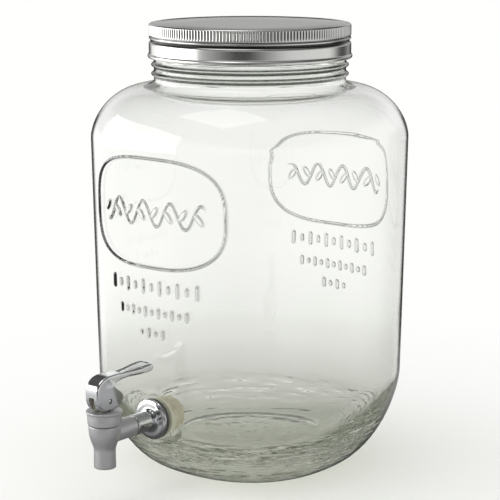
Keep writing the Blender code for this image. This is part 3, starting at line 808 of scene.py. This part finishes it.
def make_washers():
    bore = WASHER_BORE
    for node, name, lip, slot, material in (
        ("outer_washer", "outer_seal", 0.6 * MM, "dark_rubber", RUBBER),
        ("inner_washer", "inner_seal", 0.7 * MM, "silicone", SILICONE),
    ):
        near, far, radius = reaches(node)
        radius += OUTER_SEAL_WIDER if node == "outer_washer" else 0
        middle = (near + far) / 2
        profile = [
            (bore, near), (radius - 1.4 * MM, near), (radius, near + 0.15 * MM), (radius, middle - 0.25 * MM),
            (radius - 0.25 * MM, middle), (radius, middle + 0.25 * MM), (radius, far - 0.15 * MM),
            (radius - 1.4 * MM, far), (bore, far),
        ]
        ring = lathe(name, rounded(profile, lip, 4, True), TAP_SEGMENTS, ORIGIN, True, 35)
        finished(placed(ring, along_tap), "jar", slot, material, node)


def make_nut():
    near, far, _ = reaches("lock_nut")
    near -= NUT_LONGER
    half_flats, bore = 12 * MM, WASHER_BORE

    def hexagon(turn, radius, z):
        off_flat = (turn + math.pi / 6) % (math.pi / 3) - math.pi / 6
        reach = np.minimum(half_flats / np.cos(off_flat), 13.4 * MM)
        skirt = smoothstep(near, near + 1.6 * MM, z) * smoothstep(far - 1.4 * MM, far - 1.9 * MM, z)
        return np.where(radius > 11 * MM, (reach - radius) * skirt, 0)

    profile = [
        (bore, near + 0.7 * MM), (bore + 0.7 * MM, near), (half_flats - 0.9 * MM, near),
        (half_flats, near + 0.5 * MM), (half_flats, near + 1.1 * MM), (half_flats, near + 1.7 * MM),
        (half_flats, far - 2.0 * MM),
        (half_flats, far - 1.6 * MM), (half_flats, far - 1.3 * MM), (half_flats + 0.7 * MM, far - 1.1 * MM),
        (half_flats + 0.9 * MM, far - 0.5 * MM), (half_flats + 0.6 * MM, far), (bore, far),
    ]
    nut = lathe("lock_nut_moulding", profile, 240, ORIGIN, True, 35, hexagon)
    finished(placed(nut, along_tap), "jar", "cream_plastic", CREAM, "lock_nut")


def make_shank():
    near, far, flange_radius = reaches("tap_shank")
    flange_near = reaches("outer_washer")[1] + 0.3 * MM
    flange_far = flange_near + 2.6 * MM
    seam = near + SEAM_REACH + SEAM_SHIFT
    arm, crest, root = ARM_RADIUS, 6.9 * MM, 6.2 * MM
    thread_end = near + SHANK_THREAD_LENGTH
    rows = [(root - 0.5 * MM, near)]
    z = near + 0.4 * MM
    while z < thread_end:
        rows.append((root, z))
        z += 0.25 * MM
    rows += rounded([
        (root, thread_end), (root, thread_end + 1 * MM), (crest, thread_end + 1.6 * MM), (crest, flange_near),
        (flange_radius - 0.4 * MM, flange_near), (flange_radius, flange_near + 0.8 * MM),
        (flange_radius - 0.5 * MM, flange_far - 0.9 * MM), (flange_radius - 2.6 * MM, flange_far),
        (arm + 1.3 * MM, flange_far + 0.2 * MM), (arm, flange_far + 1.6 * MM), (arm, seam - 0.5 * MM),
        (arm - 0.5 * MM, seam), (5.1 * MM, seam), (5.1 * MM, far - 0.5 * MM), (4.6 * MM, far),
        (FLOW_BORE, far), (FLOW_BORE, near),
    ], 0.7 * MM, 5)[1:]

    def thread(turn, radius, z):
        climb = (z - near) / SHANK_THREAD_PITCH - turn / math.tau
        cutter = 1 - 2 * np.abs(climb - np.round(climb))
        threaded = (z > near + 0.3 * MM) & (z < thread_end) & (radius > root - 0.1 * MM)
        return np.where(threaded, SHANK_THREAD_DEPTH * cutter, 0)

    shank = lathe("threaded_shank", rows, 144, ORIGIN, True, 40, thread)
    finished(placed(shank, along_tap), "jar", "chrome_plating", CHROME, "tap_shank")


def make_tap_body():
    """Barrel and arm grown together with a soft fillet, then bored."""
    outline = [
        (3, 0.0), (6.9, 0.0), (7.45, 0.25), (7.6, 0.8), (7.55, 6), (7.5, 13), (7.7, 14.4), (8.3, 16.2),
        (9.2, 18.6), (10.0, 21.0), (10.6, 23.6), (10.95, 27), (11.1, 30.0), (10.9, 30.4), (9.4, 30.4),
        (9.4, 36.0), (3, 36.1),
    ]
    profile = [(r * MM, SPOUT_Z + z * MM) for r, z in outline]
    barrel = lathe("barrel", profile, 96, BARREL_AXIS, closed=False)
    arm_far = reaches("tap_body")[0] + SEAM_SHIFT
    arm_line = [(ARM_RADIUS, arm_far + 0.5 * MM), (ARM_RADIUS, BARREL_REACH - 4 * MM)]
    arm = lathe("arm", arm_line, 96, ORIGIN, closed=False)
    cut(barrel, [placed(arm, along_tap)], operation="UNION")
    remesh = barrel.modifiers.new("grow", "REMESH")
    remesh.mode = "VOXEL"
    remesh.voxel_size = 0.42 * MM
    soften = barrel.modifiers.new("soften", "SMOOTH")
    soften.factor = 0.5
    soften.iterations = 5
    applied(barrel, 50)
    bore = [(5.6, -3), (5.6, 0.3), (5.2, 0.9), (5.2, 15.6), (7.8, 20.8), (7.8, 39)]
    bore_tool = lathe("bore", [(r * MM, SPOUT_Z + z * MM) for r, z in bore], 64, BARREL_AXIS, closed=False)
    socket_end = arm_far + 10 * MM
    passage = [(SOCKET_RADIUS, arm_far - 2 * MM), (SOCKET_RADIUS, socket_end), (FLOW_BORE, socket_end)]
    passage += [(FLOW_BORE, BARREL_REACH - 1 * MM)]
    passage_tool = placed(lathe("passage", passage, 48, ORIGIN, closed=False), along_tap)
    cut(barrel, [bore_tool, passage_tool], 50)
    barrel.name = "tap_barrel"
    finished(barrel, "jar", "silver_plastic", SILVER, "tap_body")


def make_bonnet():
    low, top = bonnet_low.z, bonnet_high.z
    lip = (bonnet_high.x - bonnet_low.x) / 2
    skirt = lip - 0.7 * MM
    bore, inside, under = 4.4 * MM, 9.9 * MM, top - 2.1 * MM
    profile = [
        (inside, low), (skirt - 0.7 * MM, low), (skirt - 0.25 * MM, low + 0.5 * MM), (skirt, low + 4 * MM),
        (skirt, top - 1.9 * MM), (lip - 0.4 * MM, top - 1.6 * MM), (lip, top - 1.2 * MM),
        (lip, top - 0.3 * MM), (lip - 0.5 * MM, top), (bore + 0.5 * MM, top),
        (bore, top - 0.4 * MM), (bore, under), (inside, under),
    ]
    cap = lathe("bonnet_cap", rounded(profile, 0.35 * MM, 3, True), TAP_SEGMENTS, BARREL_AXIS, True, 35)
    finished(cap, "jar", "silver_plastic", SILVER, "bonnet")


def make_valve():
    """The folded seat cup, blended between its clamped rim and the stem that lifts its plug."""
    cup_low, cup_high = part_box("seat_cup")
    rim = cup_high.z
    outside = [(5.0, 45.8), (6.85, 49.4), (6.9, 50.4), (6.9, 53)]
    for fold in range(4):
        low = 54.5 + 3 * fold
        outside += [(5.95, low), (6.45, low + 0.6), (6.85, low + 1.5), (6.45, low + 2.4)]
    outside += [(6.2, 66.4), (9.2, 66.4), (9.2, rim / MM), (4.7, rim / MM)]
    inside = [(4.35, 66), (4.35, 52), (5.35, 51.3), (5.35, 48.4), (4.4, 48.2)]
    line = [(3.0, cup_low.z / MM)] + outside + inside + [(3.0, 48.2)]
    profile = [(r * MM, z * MM) for r, z in line]
    cup = lathe("valve_cup", rounded(profile, 0.3 * MM, 2), 96, BARREL_AXIS, False, 35)
    cup.data.materials.append(SILICONE)
    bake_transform(cup)
    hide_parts("seat_cup")

    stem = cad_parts["valve_stem"]
    stem.data.materials.clear()
    stem.data.materials.append(CREAM)


# Lever

LEVER_HALF_WIDTH = 6 * MM
CAM_LOW = PIN.z - bonnet_high.z - 0.3 * MM
CAM_GROWTH = 5.3 * MM / (math.pi / 2)
EDGE_ROUND = 1.5 * MM
OUTLINE_STEP = 0.42 * MM
BLADE_WAIST = 0.14
BLADE_FLARE = 0.22
BLADE_MIDDLE = 14.8 * MM  # height over the pin of the middle of the blade's thickness
SLOT_REACH = 3.9 * MM  # how far the stem's slot goes past the pin, towards the jar and up
SLOT_HALF_WIDTH = 2.35 * MM
SLOT_CORNER = 1.2 * MM


def cam_line(steps):
    """The cam from the hub's bottom round to its front: its support grows evenly with the turn."""
    turn = np.linspace(0, math.pi / 2, steps)
    support = CAM_LOW + CAM_GROWTH * turn
    along = -support * np.sin(turn) - CAM_GROWTH * np.cos(turn)
    up = -support * np.cos(turn) + CAM_GROWTH * np.sin(turn)
    return np.stack([along, up], -1)


def curve_through(points, steps):
    """A uniform Catmull-Rom curve through points, open."""
    points = np.array(points, float)
    padded = np.vstack([2 * points[0] - points[1], points, 2 * points[-1] - points[-2]])
    made = []
    for a, b, c, d in zip(padded, padded[1:], padded[2:], padded[3:]):
        t = np.linspace(0, 1, steps, endpoint=False)[:, None]
        square, cube = 2 * a - 5 * b + 4 * c - d, 3 * b - a - 3 * c + d
        made.append(0.5 * (2 * b + (c - a) * t + square * t ** 2 + cube * t ** 3))
    return np.vstack(made + [points[-1:]])


def lever_outline():
    """Side view about the pin: the cam, over the arch, along the blade, round its tip and back to the hub."""
    arch = [(-12.2, 8.6), (-11.4, 11.5), (-9.2, 14.2), (-5.6, 16.4), (-0.5, 17.4)]
    blade = [(10, 17.2), (20, 17.2), (30, 17.9), (39, 18.4), (43.6, 18.0), (45.9, 16.6), (46.1, 14.9)]
    blade += [(44.6, 13.2)]
    under = [(40, 12.4), (30, 12.2), (20, 12.3), (12.5, 12.1), (7.6, 11.2), (6.6, 9.7), (8.3, 8.0)]
    hub = [(11.2, 5.8), (13.5, 3.2), (14.1, 0.4), (12.8, -2.8), (9.2, -5.4), (4.6, -6.8)]
    cam = cam_line(25)
    drawn = np.vstack([cam[-1:], np.array(arch + blade + under + hub) * MM, cam[:1]])
    line = np.vstack([cam[:-1], curve_through(drawn, 12)[:-1], cam[:1]])
    whole = lengths(line)[-1]
    return points_at(np.linspace(0, whole, round(whole / OUTLINE_STEP), endpoint=False), line)


def inward(line):
    """Unit normals of a closed line, pointing in, each from its neighbours two steps away."""
    step = np.roll(line, -2, 0) - np.roll(line, 2, 0)
    normal = np.stack([-step[:, 1], step[:, 0]], -1)
    normal /= np.linalg.norm(normal, axis=1)[:, None]
    area = np.sum(line[:, 0] * np.roll(line[:, 1], -1) - np.roll(line[:, 0], -1) * line[:, 1])
    return normal if area > 0 else -normal


def across_tap(point):
    """Lays a piece turned round Z along the lever's pin."""
    return PIN + Vector((point.z, point.x, point.y))


def make_lever():
    line = lever_outline()
    normal = inward(line)
    stations = [
        (LEVER_HALF_WIDTH - EDGE_ROUND * (1 - math.sin(a)), EDGE_ROUND * (1 - math.cos(a)))
        for a in np.linspace(0, math.pi / 2, 8)
    ]
    middle = np.linspace(0, LEVER_HALF_WIDTH - EDGE_ROUND, 9)[:-1]
    right = [(x, 0.0) for x in middle] + stations + [(LEVER_HALF_WIDTH, EDGE_ROUND + 0.35 * MM)]
    sections = [(-x, inset) for x, inset in reversed(right[1:])] + right
    rings = []
    for x, inset in sections:
        ring = line + normal * inset
        along, up = ring[:, 0], ring[:, 1]
        blade = smoothstep(8 * MM, 16 * MM, along) * smoothstep(9.5 * MM, 11.5 * MM, up)
        narrow = smoothstep(-4 * MM, 12 * MM, along) * smoothstep(34 * MM, 18 * MM, along)
        waist = 1 - BLADE_WAIST * narrow * smoothstep(9 * MM, 12 * MM, up)
        tip = np.sqrt(np.clip(1 - (np.clip(along - 38.5 * MM, 0, None) / (8.2 * MM)) ** 2, 0.02, 1))
        flare = 1 + BLADE_FLARE * smoothstep(20 * MM, 37 * MM, along)
        across = x * waist * flare * np.where(up > 9.5 * MM, tip, 1)
        dish = smoothstep(11 * MM, 17 * MM, along) * smoothstep(43.5 * MM, 40 * MM, along)
        on_top = up > BLADE_MIDDLE
        trough = dish * smoothstep(4.0 * MM, 2.6 * MM, abs(x)) * on_top
        bow = np.clip(abs(x) / LEVER_HALF_WIDTH, 0, 1) ** 2
        crown = 0.5 * MM * blade * bow * np.where(on_top, -1, 0.6)
        rings.append(np.stack([across, along, up - 0.9 * MM * trough + crown], -1))
    verts = np.vstack(rings) + np.array(PIN)
    lever = new_object("lever_handle", verts, ring_faces(len(rings), len(line)), 40)

    far = 20 * MM
    edge = [(-far, -far), (SLOT_REACH, -far)]
    for turn in np.linspace(0, math.pi / 2, 6):
        short, low = SLOT_CORNER * (1 - math.cos(turn)), SLOT_CORNER * (1 - math.sin(turn))
        edge.append((SLOT_REACH - short, SLOT_REACH - low))
    edge += [(-far, SLOT_REACH)]
    corners = [(x, y, z) for x in (-SLOT_HALF_WIDTH, SLOT_HALF_WIDTH) for y, z in edge]
    slot = new_object("slot", np.array(corners) + np.array(PIN), ring_faces(2, len(edge)))
    hole = lathe("hole", [(1.75 * MM, -10 * MM), (1.75 * MM, 10 * MM)], 40, ORIGIN, closed=False)
    cut(lever, [slot, placed(hole, across_tap)], 40)
    finished(lever, "handle", "chrome_plating", CHROME, "lever")


def make_pin():
    half = (pin_high.x - pin_low.x) / 2
    end = [(0.3 * MM, half), (1.2 * MM, half), (1.5 * MM, half - 0.5 * MM)]
    profile = [(radius, -reach) for radius, reach in end] + end[::-1]
    pin = lathe("hinge_pin", rounded(profile, 0.3 * MM), 48, ORIGIN, False, 40)
    finished(placed(pin, across_tap), "handle", "pin_steel", PIN_STEEL, "lever_pin")


# Stage: a pale floor, soft lights and the camera

CAMERA_TURN = 39  # degrees round the jar from straight in front of the tap
CAMERA_PITCH = 11.236  # degrees it looks down
CAMERA_LENS = 130
CAMERA_SENSOR = 36
CAMERA_DISTANCE = 1.301
CAMERA_HEIGHT = 0.4152

# Brightness of the studio's walls by degrees round the jar, and of its ceiling and the sweep by how
# far up a ray points, from level at 0 to straight up at 1
WALLS = [
    (-180, 0.25), (-169, 0.4), (-163, 0.04), (-117, 0.04), (-106, 1.3), (-50, 1.3), (-22, 0.7),
    (0, 0.36), (22, 0.05), (38, 0.06), (52, 0.3), (80, 0.85), (140, 1.0), (150, 0.6), (160, 0.1),
    (174, 0.1), (180, 0.25),
]
CEILING = [(0.0, 0.6), (0.28, 0.6), (0.42, 0.08), (0.75, 0.12), (0.92, 0.55), (1.0, 0.6)]
WALL_TOP = (0.0, 0.1)  # how far up the walls give way to the ceiling
SOFT_LIGHT = 0.85  # brightness of the room to scattered light
SWEEP = [(0.0, 1.0), (0.22, 1.0), (0.45, 0.45), (1.0, 0.08)]
GLASS_FILL = 0.72  # how much of the sweep rays bounced inside the glass see instead of the walls
LIGHT_BOUNCES = 32

FLOOR_RADIUS = 0.5
PAINTED_FLOOR_REFLECTION = 0.48  # painted brightness of the near floor as seen in metal and in the outside of the glass
PAINTED_CONTACT_SHADOW = 0.10  # and of the painted contact shadow on it, right under the jar and the tap
PAINTED_SHADOW_REACH = (0.13, 0.22)  # distances between which that painted shadow gives way to the near floor
FLOOR_FADE = (0.28, 0.5)  # distances between which the mirrored floor gives way to the walls
FLOOR_WHITE = (0.12, 0.5)  # distances between which the floor turns into the white of the sweep


def floor_material():
    """Pale paper near the jar that fades into an evenly lit sweep, and in reflections a painted glow with a
    painted contact shadow.
    """
    matt = {"Roughness": 0.9, "Specular IOR Level": 0.1}
    made, tree, shader, coords = node_material("pale_floor", matt)
    paper = tones(tree, noise(tree, coords, 3, 3.0), [(0.865, 0.86, 0.845), (0.88, 0.875, 0.862)])
    fill(tree, shader, {"Base Color": paper})
    length = new_node(tree, "VectorMath", {0: coords})
    length.operation = "LENGTH"
    away = length.outputs["Value"]
    glow = new_node(tree, "Emission", {"Color": (1.0, 0.998, 0.99, 1)})
    direct = mixed_shaders(tree, to_range(tree, away, 0, 1, *FLOOR_WHITE), shader.outputs[0], glow.outputs[0])
    # In reflections the floor is a painted glow, with a painted contact shadow under the jar and the tap
    near = to_range(tree, away, PAINTED_CONTACT_SHADOW, PAINTED_FLOOR_REFLECTION, *PAINTED_SHADOW_REACH)
    shade = new_node(tree, "Emission", {"Strength": near})
    clear = new_node(tree, "BsdfTransparent", {})
    far = to_range(tree, away, 0, 1, *FLOOR_FADE)
    faded = mixed_shaders(tree, far, shade.outputs[0], clear.outputs[0])
    ray = new_node(tree, "LightPath", {}).outputs
    outside_glass = math_node(tree, "SUBTRACT", ray["Is Glossy Ray"], ray["Transmission Depth"])
    mirrored = math_node(tree, "GREATER_THAN", outside_glass, 0.5)
    whole = mixed_shaders(tree, mirrored, direct, faded)
    fill(tree, tree.nodes["Material Output"], {"Surface": whole})
    return made


def make_floor():
    """A near floor that everything sees, and a far sweep only seen straight or through the glass."""
    finish = floor_material()
    for name, inner, outer in (("floor", 0.1 * MM, FLOOR_RADIUS), ("sweep", FLOOR_RADIUS, 12.0)):
        ring = [(outer, -0.2 * MM), (inner, -0.2 * MM)]
        floor = lathe(name, ring, 96, ORIGIN, closed=False, caps=False)
        floor.data.materials.append(finish)
    floor.visible_glossy = False
    floor.visible_diffuse = False
    floor.visible_shadow = False


def softbox(name, direction, distance, size, power):
    """An area light in a direction (azimuth, elevation) from the jar's middle, facing it."""
    turn, lift = (math.radians(a) for a in direction)
    target = Vector((0, 0, 0.16))
    out = Vector((math.sin(turn) * math.cos(lift), -math.cos(turn) * math.cos(lift), math.sin(lift)))
    data = bpy.data.lights.new(name, "AREA")
    data.shape = "RECTANGLE"
    data.size, data.size_y = size
    data.energy = power
    made = bpy.data.objects.new(name, data)
    made.location = target + out * distance
    made.rotation_euler = (-out).to_track_quat("-Z", "Y").to_euler()
    made.visible_camera = False
    made.visible_transmission = False
    bpy.context.scene.collection.objects.link(made)


def grey_ramp(tree, value, stops):
    return ramp_of(tree, value, [(place, (level, level, level)) for place, level in stops])


def make_world():
    """A studio of light and dark walls for reflections, with a white sweep behind whatever is looked at."""
    world = bpy.data.worlds.new("studio")
    bpy.context.scene.world = world
    world.use_nodes = True
    tree = world.node_tree
    coords = new_node(tree, "TexCoord", {}).outputs["Generated"]
    x, y, z = new_node(tree, "SeparateXYZ", {"Vector": coords}).outputs
    turn = math_node(tree, "ARCTAN2", x, math_node(tree, "MULTIPLY", y, -1))
    share = math_node(tree, "ADD", math_node(tree, "DIVIDE", turn, math.tau), 0.5)
    walls = grey_ramp(tree, share, [(place / 360 + 0.5, level) for place, level in WALLS])
    ceiling = grey_ramp(tree, z, CEILING)
    lift = to_range(tree, z, 0, 1, *WALL_TOP)
    studio = mixed(tree, lift, walls, ceiling)
    sweep = grey_ramp(tree, z, SWEEP)
    ray = new_node(tree, "LightPath", {}).outputs
    straight = math_node(tree, "MAXIMUM", ray["Is Camera Ray"], ray["Is Transmission Ray"])
    in_glass = math_node(tree, "MINIMUM", ray["Transmission Depth"], GLASS_FILL)
    straight = math_node(tree, "MAXIMUM", straight, in_glass)
    scattered = (SOFT_LIGHT, SOFT_LIGHT, SOFT_LIGHT, 1)
    studio = mixed(tree, ray["Is Diffuse Ray"], studio, scattered)
    seen = mixed(tree, straight, studio, sweep)
    fill(tree, tree.nodes["Background"], {"Color": seen, "Strength": 1.0})


def make_camera():
    azimuth, pitch = math.radians(CAMERA_TURN), math.radians(CAMERA_PITCH)
    data = bpy.data.cameras.new("camera")
    data.lens = CAMERA_LENS
    data.sensor_width = CAMERA_SENSOR
    camera = bpy.data.objects.new("camera", data)
    across, along = CAMERA_DISTANCE * math.sin(azimuth), -CAMERA_DISTANCE * math.cos(azimuth)
    camera.location = JAR_AXIS + Vector((across, along, CAMERA_HEIGHT))
    camera.rotation_euler = (math.pi / 2 - pitch, 0, azimuth)
    bpy.context.scene.collection.objects.link(camera)
    bpy.context.scene.camera = camera


def allow_long_paths():
    """Light is led round inside the thick heel many times before it comes out."""
    paths = bpy.context.scene.cycles
    paths.max_bounces = LIGHT_BOUNCES
    paths.transmission_bounces = LIGHT_BOUNCES
    paths.glossy_bounces = LIGHT_BOUNCES


make_jar()
make_lid()
make_washers()
make_nut()
make_shank()
make_tap_body()
make_bonnet()
make_valve()
make_lever()
make_pin()
make_floor()
make_world()
softbox("left", (CAMERA_TURN - 95, 12), 2.0, (2.6, 1.3), 26)
softbox("top", (CAMERA_TURN - 60, 75), 2.0, (1.2, 1.2), 8)
make_camera()
bpy.context.scene.view_settings.view_transform = "Standard"
allow_long_paths()
